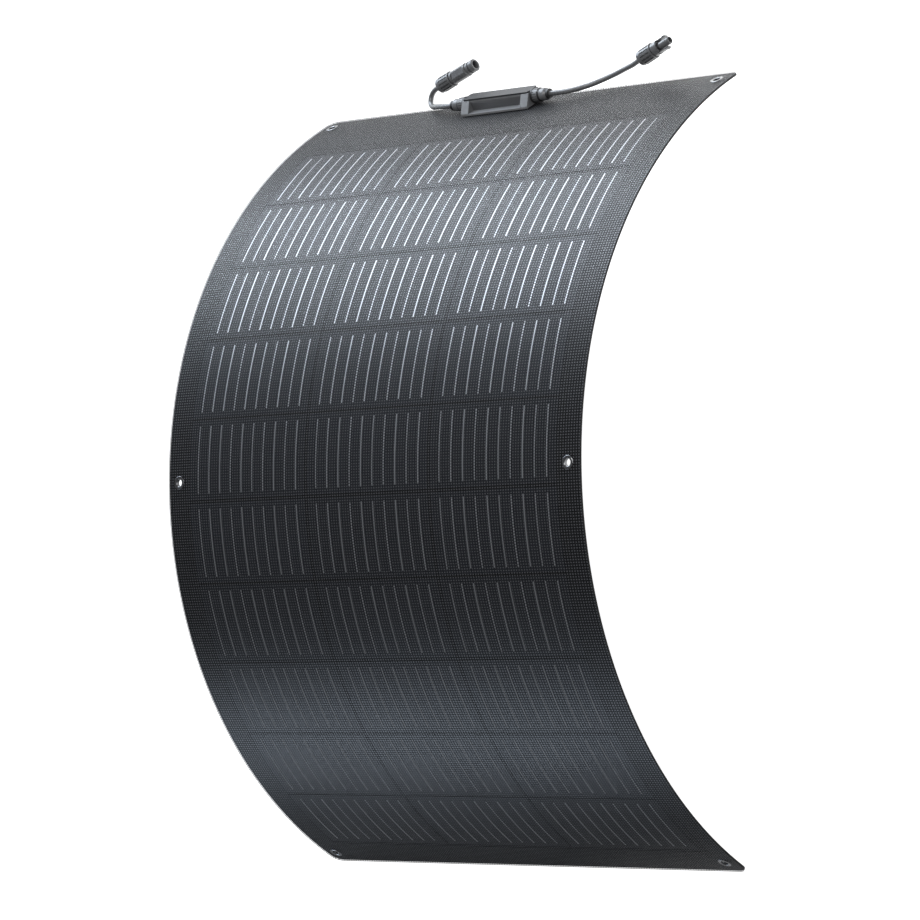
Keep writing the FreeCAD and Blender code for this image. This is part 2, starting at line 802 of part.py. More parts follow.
def rounded_path(points):
    """Straight runs joined by tangent arcs, each arc as large as its two runs allow."""
    edges = []
    radii = []
    here = points[0]
    for before, corner, after in zip(points, points[1:], points[2:]):
        arriving = (corner - before).normalize()
        leaving = (after - corner).normalize()
        half_turn = arriving.getAngle(leaving) / 2
        reach = 0.45 * min((corner - before).Length, (after - corner).Length)
        radii.append(reach / math.tan(half_turn))
        arc_start = corner - arriving * reach
        arc_end = corner + leaving * reach
        inward = (leaving - arriving).normalize()
        sagitta = radii[-1] / math.cos(half_turn) - radii[-1]
        edges.append(Part.LineSegment(here, arc_start).toShape())
        edges.append(Part.Arc(arc_start, corner + inward * sagitta, arc_end).toShape())
        here = arc_end
    edges.append(Part.LineSegment(here, points[-1]).toShape())
    return Part.Wire(edges), radii


def lead(label, route, axis):
    """One lead: a round tube along its route, which ends inside its connector."""
    points = [Vector(*point) for point in route]
    points.append(points[-1] + axis * value("cable_plug_inside"))
    path, radii = rounded_path(points)
    radius = value("cable_radius")
    ring = Part.Wire(Part.makeCircle(radius, points[0], points[1] - points[0]))
    tube = path.makePipeShell([ring], True, True)
    expected = math.pi * radius ** 2 * path.Length
    print(f"{label}: length {path.Length:.1f}, tube volume {tube.Volume:.0f} of {expected:.0f},",
          "radii", [round(item, 1) for item in radii])
    feature = doc.addObject("Part::Feature", label)
    feature.Shape = tube
    return keep(feature, label)


lead("socket_lead", SOCKET_LEAD, SOCKET_AXIS)
lead("plug_lead", PLUG_LEAD, PLUG_AXIS)

# ---------------------------------------------------------------- connectors


def connector_place(route, axis):
    """The connector's frame: Z along it from the cable end, X level and Y straight up."""
    level = Vector(-axis.y, axis.x, 0)
    return Placement(Vector(*route[-1]), Rotation(level, Vector(0, 0, 1), axis, "ZXY"))


def cap_nut():
    body = turned([
        ("nut_bore_radius", "0"),
        ("nut_collar_radius - nut_chamfer", "0"),
        ("nut_collar_radius", "nut_chamfer"),
        ("nut_collar_radius", "nut_collar_end"),
        ("nut_radius", "nut_collar_end + nut_step"),
        ("nut_radius", "nut_length - nut_step"),
        ("nut_radius - nut_step", "nut_length"),
        ("thread_radius + nut_clearance", "nut_length"),
        ("thread_radius + nut_clearance", "nut_thread_start"),
        ("grommet_radius", "nut_thread_start"),
        ("grommet_radius", "nut_cone_end"),
        ("nut_bore_radius", "nut_cone_start"),
    ])
    return gripped(body, "nut_radius", "nut_grip_start", "nut_grip_length", "nut")


def rear_of_housing():
    """The corners that both housings share: the grommet's chamber and the thread for the nut."""
    return [
        ("contact_bore_radius", "grommet_end"),
        ("grommet_radius", "grommet_end"),
        ("grommet_radius", "housing_start"),
        ("thread_radius", "housing_start"),
        ("thread_radius", "body_start"),
    ]


def with_flats(body, start, length):
    """Mills two flats, above and below, into the round body of a housing."""
    pocket = body.newObject("PartDesign::Pocket", "Pocket")
    pocket.Profile = outline(body, "XY_Plane", [
        [("0 - flat_reach", f"{sign} body_flat"), ("flat_reach", f"{sign} body_flat"),
         ("flat_reach", f"{sign} flat_reach"), ("0 - flat_reach", f"{sign} flat_reach")]
        for sign in ("0 +", "0 -")], start)
    pocket.Reversed = True
    pocket.setExpression("Length", bound(length))
    body.Tip = pocket
    return body


def socket_housing():
    body = turned(rear_of_housing() + [
        ("body_radius", "body_start"),
        ("body_radius", "socket_body_end"),
        ("socket_groove_radius", "socket_body_end + groove_slope"),
        ("socket_groove_radius", "first_ring"),
        ("socket_ring_radius", "first_ring"),
        ("socket_ring_radius", "first_ring + ring_length"),
        ("socket_groove_radius", "first_ring + ring_length"),
        ("socket_groove_radius", "second_ring"),
        ("socket_ring_radius", "second_ring"),
        ("socket_ring_radius", "socket_length - groove_slope"),
        ("socket_groove_radius", "socket_length"),
        ("socket_bore_radius", "socket_length"),
        ("socket_bore_radius", "socket_bore_start"),
        ("contact_bore_radius", "socket_bore_start"),
    ])
    return with_flats(body, "flat_start", "socket_flat_length")


def plug_housing():
    body = turned(rear_of_housing() + [
        ("body_radius", "body_start"),
        ("body_radius", "plug_nose_start"),
        ("plug_nose_radius", "plug_nose_start"),
        ("plug_nose_radius", "plug_length - nose_chamfer"),
        ("plug_nose_radius - nose_chamfer", "plug_length"),
        ("nose_bore_radius", "plug_length"),
        ("nose_bore_radius", "nose_bore_start"),
        ("contact_bore_radius", "nose_bore_start"),
    ])
    # a slot on each side holds the root of a locking prong
    slot_pocket = body.newObject("PartDesign::Pocket", "Pocket")
    slot_pocket.Profile = outline(body, "XY_Plane", [
        [(f"{sign} prong_inner {back} prong_clearance", "0 - prong_half_width - prong_clearance"),
         (f"{sign} body_radius {sign[-1]} 1", "0 - prong_half_width - prong_clearance"),
         (f"{sign} body_radius {sign[-1]} 1", "prong_half_width + prong_clearance"),
         (f"{sign} prong_inner {back} prong_clearance", "prong_half_width + prong_clearance")]
        for sign, back in (("0 +", "-"), ("0 -", "+"))], "prong_root - prong_clearance")
    slot_pocket.Reversed = True
    slot_pocket.setExpression("Length", bound("plug_nose_start"))
    body.Tip = slot_pocket
    return body


def contact(tip):
    """The rear half that both contacts share, followed by the corners of one tip."""
    return turned([
        ("0", "cable_plug_inside"),
        ("contact_barrel_radius", "cable_plug_inside"),
        ("contact_barrel_radius", "contact_collar"),
        ("contact_bore_radius", "contact_collar"),
        ("contact_bore_radius", "contact_collar_end"),
        ("contact_body_radius", "contact_collar_end"),
    ] + tip)


def prong():
    body = padded("XZ_Plane", [[
        ("prong_inner", "prong_root"),
        ("prong_outer", "prong_root"),
        ("prong_outer", "prong_barb_start"),
        ("prong_barb", "prong_barb_start + prong_barb_rise"),
        ("prong_barb", "prong_barb_end"),
        ("prong_outer", "prong_tip"),
        ("prong_inner", "prong_tip"),
    ]], "prong_half_width + prong_half_width", midplane=True)
    return body


SOCKET = connector_place(SOCKET_LEAD, SOCKET_AXIS)
PLUG = connector_place(PLUG_LEAD, PLUG_AXIS)
for side, place in (("socket", SOCKET), ("plug", PLUG)):
    keep(cap_nut(), f"{side}_cap_nut", place)
    keep(turned(rectangle("cable_radius + collet_gap", "collet_radius", "collet_start",
                          "collet_end")), f"{side}_clamp_collet", place)
    keep(turned(rectangle("cable_radius", "grommet_radius", "grommet_start", "cable_plug_inside")),
         f"{side}_grommet", place)
keep(socket_housing(), "socket_housing", SOCKET)
keep(plug_housing(), "plug_housing", PLUG)
keep(contact([
    ("contact_body_radius", "socket_contact_end"),
    ("contact_socket_radius", "socket_contact_end"),
    ("contact_socket_radius", "socket_contact_depth"),
    ("0", "socket_contact_depth"),
]), "socket_contact", SOCKET)
keep(contact([
    ("contact_body_radius", "nose_bore_start"),
    ("contact_pin_radius", "nose_bore_start"),
    ("contact_pin_radius", "pin_taper"),
    ("pin_tip_radius", "pin_end"),
    ("0", "pin_end"),
]), "plug_contact", PLUG)
o_ring = primitive("Part::Torus", PLUG * at(0, 0, value("o_ring_height")),
                   Radius1=bound("plug_nose_radius + ring_section_radius"),
                   Radius2=bound("ring_section_radius"))
keep(o_ring, "plug_o_ring")
keep(prong(), "locking_prong_left", PLUG)
keep(prong(), "locking_prong_right", PLUG * Placement(Vector(), Rotation(Vector(0, 0, 1), 180)))

# ---------------------------------------------------------------- checks and files

doc.recompute()
for item in doc.Objects:
    if "Invalid" in item.State or "Error" in item.State:
        raise RuntimeError(f"{item.Label} failed: {item.State}")
    if item.TypeId == "PartDesign::Pocket":
        removed = item.BaseFeature.Shape.Volume - item.Shape.Volume
        if removed < 0.1:
            raise RuntimeError(f"{item.Label} cuts nothing away: {removed:.2f} mm3")
for part in parts:
    shape = part.Shape
    if shape.isNull() or not shape.isValid() or not shape.Solids:
        raise RuntimeError(f"{part.Label} has no valid solid")
os.makedirs("parts", exist_ok=True)
for part in parts:
    part.Shape.exportStep(f"parts/{part.Label}.step")
    box = part.Shape.BoundBox
    print(f"{part.Label}: {len(part.Shape.Solids)} solids, {part.Shape.Volume:.0f} mm3,",
          f"x {box.XMin:.1f} {box.XMax:.1f}, y {box.YMin:.1f} {box.YMax:.1f},",
          f"z {box.ZMin:.1f} {box.ZMax:.1f}")
print(len(parts), "sub-parts")
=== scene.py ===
import json
import math

import bmesh
import bpy
from mathutils import Matrix, Vector


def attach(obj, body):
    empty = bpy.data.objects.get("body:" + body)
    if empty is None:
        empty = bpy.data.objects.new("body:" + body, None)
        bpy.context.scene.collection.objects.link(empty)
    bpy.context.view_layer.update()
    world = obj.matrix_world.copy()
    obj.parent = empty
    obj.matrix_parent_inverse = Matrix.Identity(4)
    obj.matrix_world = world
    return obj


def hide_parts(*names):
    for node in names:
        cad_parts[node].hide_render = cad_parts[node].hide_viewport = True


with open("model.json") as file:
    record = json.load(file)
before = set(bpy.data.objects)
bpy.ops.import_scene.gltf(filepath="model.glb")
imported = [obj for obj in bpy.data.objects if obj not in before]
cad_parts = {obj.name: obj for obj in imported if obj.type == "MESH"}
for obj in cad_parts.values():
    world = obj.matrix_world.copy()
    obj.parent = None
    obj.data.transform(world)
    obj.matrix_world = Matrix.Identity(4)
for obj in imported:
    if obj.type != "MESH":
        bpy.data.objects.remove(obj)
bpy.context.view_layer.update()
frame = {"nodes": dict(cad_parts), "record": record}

NODES = frame["nodes"]

# ---------------------------------------------------------------- sizes, in metres
SHEET_RADIUS = 0.4777          # the film's outer face
FILM_BACK_RADIUS = 0.47705
RIBBON_RADIUS = 0.4770         # the ribbons' outer face, and so on inwards
CELL_RADIUS = 0.4768
CELL_BACK_RADIUS = 0.47655
CORE_RADIUS = 0.4765
CORE_BACK_RADIUS = 0.47622
BACKING_RADIUS = 0.4762
BACK_RADIUS = 0.4752           # the backing's inner face, which stands on the ground
SHEET_LENGTH = 1.055
HALF_WIDTH = 0.306
ARCH_Y = -0.0048
HALF_ANGLE = SHEET_LENGTH / SHEET_RADIUS / 2
AXIS_Z = -BACK_RADIUS * math.cos(HALF_ANGLE)
CORNER = 0.011                 # the radius of the sheet's corners
HOLE = 0.0047                  # the radius of the holes that the eyelets fill
EYELET_X = 0.289
EYELET_STARTS = (0.021, SHEET_LENGTH / 2, SHEET_LENGTH - 0.021)
CELL_WIDTH, CELL_LENGTH = 0.182, 0.091
COLUMN_PITCH, ROW_PITCH = 0.1832, 0.092
FIRST_ROW = 0.0901
ROWS, RIBBONS = 10, 10
RIBBON_INSET, RIBBON_PITCH = 0.01485, 0.01692
RIBBON_WIDTH, RIBBON_LENGTH = 0.0014, 0.0758


def bent(x, start, radius):
    """A point on the bend: start is measured along the film from the edge with the junction box."""
    angle = HALF_ANGLE - start / SHEET_RADIUS
    return Vector((x, ARCH_Y + radius * math.sin(angle), AXIS_Z + radius * math.cos(angle)))


# ---------------------------------------------------------------- camera
camera_data = bpy.data.cameras.new("camera")
camera_data.sensor_width = 36.0
camera_data.lens = 178.36
camera_data.clip_end = 60.0
camera = bpy.data.objects.new("camera", camera_data)
bpy.context.scene.collection.objects.link(camera)
right = Vector((0.72971, -0.00719, -0.68372)).normalized()
up = Vector((0.04010, 0.99867, 0.03229))
back = right.cross(up).normalized()
up = back.cross(right)
turn = Matrix((right, up, back)).transposed().to_4x4()
camera.matrix_world = Matrix.Translation((3.3944, -0.2397, 3.74175)) @ turn
bpy.context.scene.camera = camera


# ---------------------------------------------------------------- material helpers
class Nodes:
    """A material under construction, with short calls for the nodes used below."""

    def __init__(self, name):
        self.material = bpy.data.materials.new(name)
        self.material.use_nodes = True
        self.tree = self.material.node_tree
        self.shader = self.tree.nodes["Principled BSDF"]

    def set(self, **values):
        for name, value in values.items():
            self.shader.inputs[name.replace("_", " ")].default_value = value

    def link(self, source, target):
        self.tree.links.new(source, target)

    def coordinates(self):
        return self.tree.nodes.new("ShaderNodeTexCoord").outputs["Object"]

    def split(self, vector):
        node = self.tree.nodes.new("ShaderNodeSeparateXYZ")
        self.link(vector, node.inputs[0])
        return node.outputs

    def math(self, operation, *values):
        node = self.tree.nodes.new("ShaderNodeMath")
        node.operation = operation
        for socket, value in zip(node.inputs, values):
            if isinstance(value, (int, float)):
                socket.default_value = value
            else:
                self.link(value, socket)
        return node.outputs[0]

    def noise(self, scale, detail=2.0):
        node = self.tree.nodes.new("ShaderNodeTexNoise")
        node.inputs["Scale"].default_value = scale
        node.inputs["Detail"].default_value = detail
        self.link(self.coordinates(), node.inputs["Vector"])
        return node.outputs["Fac"]

    def spread(self, value, low, high, start=0.0, end=1.0):
        """Maps a value from start..end to low..high."""
        node = self.tree.nodes.new("ShaderNodeMapRange")
        node.inputs["From Min"].default_value = start
        node.inputs["From Max"].default_value = end
        node.inputs["To Min"].default_value = low
        node.inputs["To Max"].default_value = high
        self.link(value, node.inputs["Value"])
        return node.outputs["Result"]

    def mix(self, factor, first, second):
        node = self.tree.nodes.new("ShaderNodeMix")
        node.data_type = "RGBA"
        self.link(factor, node.inputs["Factor"])
        for socket, value in ((node.inputs["A"], first), (node.inputs["B"], second)):
            if isinstance(value, tuple):
                socket.default_value = value + (1.0,)
            else:
                self.link(value, socket)
        return node.outputs["Result"]

    def bump(self, height, distance, strength=1.0):
        node = self.tree.nodes.new("ShaderNodeBump")
        node.inputs["Distance"].default_value = distance
        node.inputs["Strength"].default_value = strength
        self.link(height, node.inputs["Height"])
        self.link(node.outputs["Normal"], self.shader.inputs["Normal"])

    def colour(self, source):
        self.link(source, self.shader.inputs["Base Color"])

    def roughness(self, source):
        self.link(source, self.shader.inputs["Roughness"])


def unrolled(make):
    """Across and along the sheet, in metres, as if it lay flat."""
    x, y, z = make.split(make.coordinates())
    angle = make.math("ARCTAN2", make.math("SUBTRACT", y, ARCH_Y), make.math("SUBTRACT", z, AXIS_Z))
    start = make.math("MULTIPLY", make.math("SUBTRACT", HALF_ANGLE, angle), SHEET_RADIUS)
    return x, start


def waves(make, value, pitch):
    """0 to 1 and back, once in each pitch."""
    turns = make.math("MULTIPLY", value, 2 * math.pi / pitch)
    return make.math("MULTIPLY_ADD", make.math("SINE", turns), 0.5, 0.5)


def weave(make, pitch_across, pitch_along):
    """A grid of knuckles: 1 where two threads cross and 0 in the gaps between the threads."""
    x, start = unrolled(make)
    return make.math("MULTIPLY", waves(make, x, pitch_across), waves(make, start, pitch_along))


GROOVE_SHADE_REACH = 0.0016


def plastic(name, dark, light, roughness, grain=900.0, relief=0.00006, painted_groove_shade=False, **extra):
    """Moulded plastic or rubber: slow mottling in its colour, a fine grain in its gloss, and, if
    asked, painted shade in its grooves.
    """
    make = Nodes(name)
    shade = make.mix(make.noise(60.0, 4.0), dark, light)
    if painted_groove_shade:                        # painted shade: an ambient-occlusion node darkens the grooves between its grips to nearly black
        groove_occlusion = make.tree.nodes.new("ShaderNodeAmbientOcclusion")
        groove_occlusion.samples = 6
        groove_occlusion.inputs["Distance"].default_value = GROOVE_SHADE_REACH
        unshaded_part = make.spread(groove_occlusion.outputs["AO"], 0.0, 1.0, 0.45, 0.95)
        shade = make.mix(unshaded_part, (0.006, 0.006, 0.006), shade)
    make.colour(shade)
    make.roughness(make.spread(make.noise(grain * 0.4, 3.0), roughness - 0.07, roughness + 0.07))
    make.bump(make.noise(grain, 3.0), relief)
    make.set(**extra)
    return make.material


def metal(name, dark, light, roughness, scale=500.0, relief=0.00002):
    """Plated metal with faint scuffs."""
    make = Nodes(name)
    make.colour(make.mix(make.noise(scale * 0.5, 3.0), dark, light))
    make.roughness(make.spread(make.noise(scale, 4.0), roughness - 0.08, roughness + 0.08))
    make.bump(make.noise(scale * 2, 2.0), relief)
    make.set(Metallic=1.0)
    return make.material


# ---------------------------------------------------------------- materials
FILM_WEAVE = (0.00366, 0.0030)     # the pitch of the embossed knuckles, across and along
FIBRE_WEAVE = (0.0016, 0.0016)
FINGER_PITCH = 0.0014              # of the fine lines across a cell
CELL_BORDER = 0.0019               # half the gap between two cells, and a dull strip beside it


def film_material():
    """Clear embossed film: milky on its knuckles, clear between them, and softly glossy."""
    make = Nodes("film_clear_woven")
    height = weave(make, *FILM_WEAVE)
    cloud = make.noise(9.0, 3.0)
    thread = make.spread(height, 0.0, 1.0, 0.1, 0.6)
    make.colour(make.mix(thread, (0.0, 0.0, 0.0), (0.056, 0.057, 0.062)))
    make.roughness(make.spread(cloud, 0.37, 0.44))
    make.link(make.spread(thread, 0.12, 0.76), make.shader.inputs["Alpha"])
    make.bump(height, 0.00005, 0.6)
    make.set(Specular_IOR_Level=0.58)
    return make.material


def cell_material():
    """Silicon: blue-black, slightly different from cell to cell, with fine fingers across."""
    make = Nodes("silicon_cell")
    x, start = unrolled(make)
    from_side = make.math("ADD", x, 3 * COLUMN_PITCH / 2)
    from_first = make.math("SUBTRACT", start, FIRST_ROW)
    row = make.math("FLOOR", make.math("DIVIDE", from_first, ROW_PITCH))
    column = make.math("FLOOR", make.math("DIVIDE", from_side, COLUMN_PITCH))
    place = make.tree.nodes.new("ShaderNodeCombineXYZ")
    make.link(row, place.inputs[0])
    make.link(column, place.inputs[1])
    shade = make.tree.nodes.new("ShaderNodeTexWhiteNoise")
    shade.noise_dimensions = "2D"
    make.link(place.outputs[0], shade.inputs["Vector"])
    base = make.mix(shade.outputs["Value"], (0.005, 0.0055, 0.007), (0.007, 0.008, 0.011))
    fingers = make.math("GREATER_THAN", waves(make, start, FINGER_PITCH), 0.9)
    lined = make.mix(make.math("MULTIPLY", fingers, 0.35), base, (0.02, 0.021, 0.024))
    # each cell has a dull border without fingers
    from_gap = make.math("SUBTRACT", start, FIRST_ROW - (ROW_PITCH - CELL_LENGTH) / 2)
    from_line = make.math("MINIMUM", make.math("PINGPONG", from_side, COLUMN_PITCH / 2),
                          make.math("PINGPONG", from_gap, ROW_PITCH / 2))
    border = make.math("LESS_THAN", from_line, CELL_BORDER)
    make.colour(make.mix(border, lined, (0.002, 0.002, 0.002)))
    gloss = make.spread(make.noise(14.0, 3.0), 0.34, 0.42)
    make.roughness(make.math("MULTIPLY_ADD", border, 0.4, gloss))
    make.bump(make.noise(2500.0, 2.0), 0.00001)
    make.set(Specular_IOR_Level=0.09)
    return make.material


def ribbon_material():
    """Tinned ribbon, glimpsed through the woven film: painted light and shade make its colour
    lighter and darker in the film's weave pattern, so that its brightness comes and goes.
    """
    make = Nodes("tinned_ribbon")
    height = weave(make, *FILM_WEAVE)
    # painted light and shade: the colour follows the film's weave over the ribbon
    make.colour(make.mix(height, (0.47, 0.48, 0.50), (0.62, 0.63, 0.65)))
    make.roughness(make.spread(height, 0.42, 0.34))
    make.bump(height, 0.00004)
    make.set(Metallic=1.0)
    return make.material


def backing_material():
    """Matte glass-fibre laminate: a tight plain weave under dark resin."""
    make = Nodes("fibre_backing")
    height = weave(make, *FIBRE_WEAVE)
    fleck = make.noise(40.0, 5.0)
    base = make.mix(height, (0.012, 0.012, 0.013), (0.026, 0.026, 0.028))
    make.colour(make.mix(make.math("MULTIPLY", fleck, 0.3), base, (0.04, 0.04, 0.042)))
    make.roughness(make.spread(fleck, 0.5, 0.66))
    make.bump(height, 0.00012, 0.6)
    return make.material


FILM = film_material()
CELL = cell_material()
RIBBON = ribbon_material()
BACKING = backing_material()
CORE = plastic("encapsulant_black", (0.003, 0.003, 0.003), (0.005, 0.005, 0.006), 0.45, 700.0,
               Specular_IOR_Level=0.08)
EDGE = plastic("film_cut_edge", (0.008, 0.008, 0.009), (0.016, 0.016, 0.018), 0.5, 1200.0,
               Specular_IOR_Level=0.1)
COVERED = plastic("covered_bus", (0.003, 0.003, 0.003), (0.006, 0.006, 0.006), 0.45, 700.0,
                  Specular_IOR_Level=0.08)
NICKEL = metal("plated_eyelet", (0.10, 0.102, 0.106), (0.24, 0.243, 0.25), 0.2)
TIN = metal("tinned_contact", (0.62, 0.6, 0.56), (0.8, 0.79, 0.76), 0.3)
COPPER = metal("bare_copper", (0.6, 0.32, 0.2), (0.78, 0.45, 0.3), 0.35)
HOUSING = plastic("moulded_grey", (0.13, 0.132, 0.136), (0.185, 0.188, 0.192), 0.34, 1100.0)
LID = plastic("moulded_lid", (0.02, 0.0205, 0.022), (0.032, 0.033, 0.035), 0.46, 1100.0,
              Specular_IOR_Level=0.25)
# painted shade: a dark plate that stands for the shade in the junction box's recess
RECESS_SHADE = plastic("recess_shade_plate", (0.06, 0.061, 0.064), (0.085, 0.086, 0.09), 0.4, 1000.0)
# the gland's grooves get painted shade from an ambient-occlusion node
GLAND = plastic("moulded_gland", (0.075, 0.076, 0.079), (0.13, 0.132, 0.136), 0.36, 1000.0,
                painted_groove_shade=True)
SEAL = plastic("seal_rubber", (0.010, 0.010, 0.010), (0.020, 0.020, 0.021), 0.5, 1500.0)
ADHESIVE = plastic("black_adhesive", (0.012, 0.012, 0.012), (0.02, 0.02, 0.02), 0.55)
EPOXY = plastic("diode_epoxy", (0.012, 0.012, 0.012), (0.022, 0.022, 0.022), 0.35)
SHEATH = plastic("lead_sheath", (0.085, 0.087, 0.09), (0.12, 0.122, 0.126), 0.27, 1400.0, 0.00003)
# the connectors' grooves get painted shade from an ambient-occlusion node
CONNECTOR = plastic("connector_black", (0.075, 0.076, 0.079), (0.13, 0.132, 0.136), 0.27, 1300.0,
                    painted_groove_shade=True)

FINISH = {
    "encapsulant": CORE, "film": FILM, "backing": BACKING, "cells": CELL, "ribbon": RIBBON,
    "bus": COVERED, "eyelet": NICKEL, "adhesive": ADHESIVE, "housing": HOUSING, "lid": LID,
    "gland": GLAND, "seal": SEAL, "contact": TIN, "diode": EPOXY, "copper": COPPER,
    "cable": SHEATH, "connector": CONNECTOR,
}
for subpart in frame["record"]["subparts"]:
    node = NODES[subpart["node"]]
    node.data.materials.clear()
    node.data.materials.append(FINISH[subpart["material_slot"]])


# ---------------------------------------------------------------- making pieces
def finished(made, name, sharp_from=32.0):
    """The mesh of a closed or open form, with its faces turned outwards and its curves smooth."""
    bmesh.ops.recalc_face_normals(made, faces=made.faces)
    mesh = bpy.data.meshes.new(name)
    made.to_mesh(mesh)
    made.free()
    mesh.polygons.foreach_set("use_smooth", [True] * len(mesh.polygons))
    mesh.set_sharp_from_angle(angle=math.radians(sharp_from))
    return mesh


def piece(name, mesh, body, slot, replaced, *materials):
    """An object of the scene that rides on a body and stands for the named CAD nodes, if any."""
    for material in materials:
        mesh.materials.append(material)
    obj = bpy.data.objects.new(name, mesh)
    bpy.context.scene.collection.objects.link(obj)
    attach(obj, body)
    if replaced:
        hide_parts(*replaced)
    return obj


# the leads: the same points as the CAD model's routes
SOCKET_ROUTE = [
    (-0.0860, 0.41925, 0.02495),
    (-0.0980, 0.41925, 0.02460),
    (-0.1095, 0.42000, 0.02220),
    (-0.1205, 0.42140, 0.01780),
    (-0.1310, 0.42260, 0.01240),
    (-0.1410, 0.42400, 0.00760),
    (-0.1460, 0.42820, 0.00480),
    (-0.1468, 0.43430, 0.00360),
    (-0.1438, 0.43980, 0.00420),
    (-0.1366, 0.44330, 0.00700),
    (-0.1274, 0.44590, 0.00930),
]
PLUG_ROUTE = [
    (0.0485, 0.41925, 0.02495),
    (0.0620, 0.41925, 0.02460),
    (0.0760, 0.41940, 0.02280),
    (0.0900, 0.42160, 0.01860),
    (0.1040, 0.42520, 0.01280),
    (0.1180, 0.43030, 0.00740),
    (0.1310, 0.43480, 0.00390),
    (0.1450, 0.43940, 0.00330),
    (0.1588, 0.44200, 0.00580),
    (0.1727, 0.44670, 0.00930),
]
SOCKET_AXIS = Vector((55.4, 19.4, 0.0)).normalized()
PLUG_AXIS = Vector((39.2, 15.6, 0.0)).normalized()
CABLE_DIAMETER = 0.006
CABLE_INSIDE = 0.012           # how far a lead goes on inside its connector


def lead(side, route, axis):
    """A free lead, from its gland on the junction box to the inside of its connector."""
    points = [Vector(p) for p in route]
    points.append(points[-1] + axis * CABLE_INSIDE)
    curve = bpy.data.curves.new(f"{side}_lead_sheath", "CURVE")
    curve.dimensions = "3D"
    spline = curve.splines.new("NURBS")
    spline.points.add(len(points) - 1)
    for target, point in zip(spline.points, points):
        target.co = (*point, 1.0)
    spline.order_u = 3
    spline.use_endpoint_u = True
    spline.resolution_u = 10
    curve.bevel_depth = CABLE_DIAMETER / 2
    curve.bevel_resolution = 7
    curve.use_fill_caps = True
    curve.materials.append(SHEATH)
    obj = bpy.data.objects.new(f"{side}_lead_sheath", curve)
    bpy.context.scene.collection.objects.link(obj)
    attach(obj, "panel")
    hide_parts(f"{side}_lead")


lead("socket", SOCKET_ROUTE, SOCKET_AXIS)
lead("plug", PLUG_ROUTE, PLUG_AXIS)


# ---------------------------------------------------------------- the laminate
SHEET_STEPS, HOLE_STEPS, CORNER_STEPS = 264, 20, 10


def stations():
    """Where the sheet is divided along its length: finer at its corners and its eyelet holes."""
    marks = {round(i * SHEET_LENGTH / SHEET_STEPS, 6) for i in range(SHEET_STEPS + 1)}
    for middle in EYELET_STARTS:
        marks = {m for m in marks if abs(m - middle) > HOLE}
        marks |= {round(middle - HOLE * math.cos(math.pi * i / HOLE_STEPS), 6)
                  for i in range(HOLE_STEPS + 1)}
    for start in (0.0, SHEET_LENGTH):
        marks = {m for m in marks if abs(m - start) > CORNER}
        marks |= {round(abs(start - CORNER * (1 - math.cos(math.pi / 2 * i / CORNER_STEPS))), 6)
                  for i in range(CORNER_STEPS + 1)}
    return sorted(marks)


def half_width_at(start):
    """Half the sheet's width, less at its rounded corners."""
    inward = CORNER - min(start, SHEET_LENGTH - start)
    if inward <= 0:
        return HALF_WIDTH
    return HALF_WIDTH - CORNER + math.sqrt(max(CORNER ** 2 - inward ** 2, 0.0))


def half_hole_at(start):
    """Half the width of an eyelet's hole there, or 0 away from the eyelets."""
    return max(math.sqrt(max(HOLE ** 2 - (start - middle) ** 2, 0.0)) for middle in EYELET_STARTS)


def layer(name, outer, inner, closed=True):
    """A full layer of the laminate, with its corners and holes: front 0, edges 1, back 2."""
    made = bmesh.new()
    marks = stations()
    grid = []
    for start in marks:
        width, hole = half_width_at(start), half_hole_at(start)
        across = [-width, -EYELET_X - hole, -EYELET_X + hole,
                  EYELET_X - hole, EYELET_X + hole, width]
        pair = []
        for radius in (outer, inner):
            line = [made.verts.new(bent(x, start, radius)) for x in across]
            if hole < 1e-6:            # no hole here: its two sides are one point
                for j in (2, 4):
                    made.verts.remove(line[j])
                    line[j] = line[j - 1]
            pair.append(line)
        grid.append(pair)

    def face(index, *corners):
        distinct = list(dict.fromkeys(corners))
        if len(distinct) > 2:
            made.faces.new(distinct).material_index = index

    for (near_out, near_in), (far_out, far_in) in zip(grid, grid[1:]):
        for j in (0, 2, 4):
            face(0, near_out[j], far_out[j], far_out[j + 1], near_out[j + 1])
            if closed:
                face(2, near_in[j], near_in[j + 1], far_in[j + 1], far_in[j])
        face(1, near_out[0], near_in[0], far_in[0], far_out[0])
        face(1, near_out[5], far_out[5], far_in[5], near_in[5])
        for j in (1, 3):
            if near_out[j] is not near_out[j + 1] or far_out[j] is not far_out[j + 1]:
                face(1, near_out[j], far_out[j], far_in[j], near_in[j])
                face(1, near_out[j + 1], near_in[j + 1], far_in[j + 1], far_out[j + 1])
    for out, within in (grid[0], grid[-1]):
        for j in (0, 2, 4):
            face(1, out[j], out[j + 1], within[j + 1], within[j])
    return finished(made, name)


def strips(name, places, width, length, outer, inner, divisions):
    """Curved plates or ribbons of one size, at (left, start) places."""
    made = bmesh.new()
    for left, start in places:
        lines = []
        for i in range(divisions + 1):
            along = start + length * i / divisions
            lines.append([made.verts.new(bent(x, along, radius)) for x, radius in (
                (left, outer), (left + width, outer), (left + width, inner), (left, inner))])
        for near, far in zip(lines, lines[1:]):
            for j in range(4):
                made.faces.new((near[j], far[j], far[(j + 1) % 4], near[(j + 1) % 4]))
        made.faces.new(lines[0])
        made.faces.new(lines[-1][::-1])
    return finished(made, name)


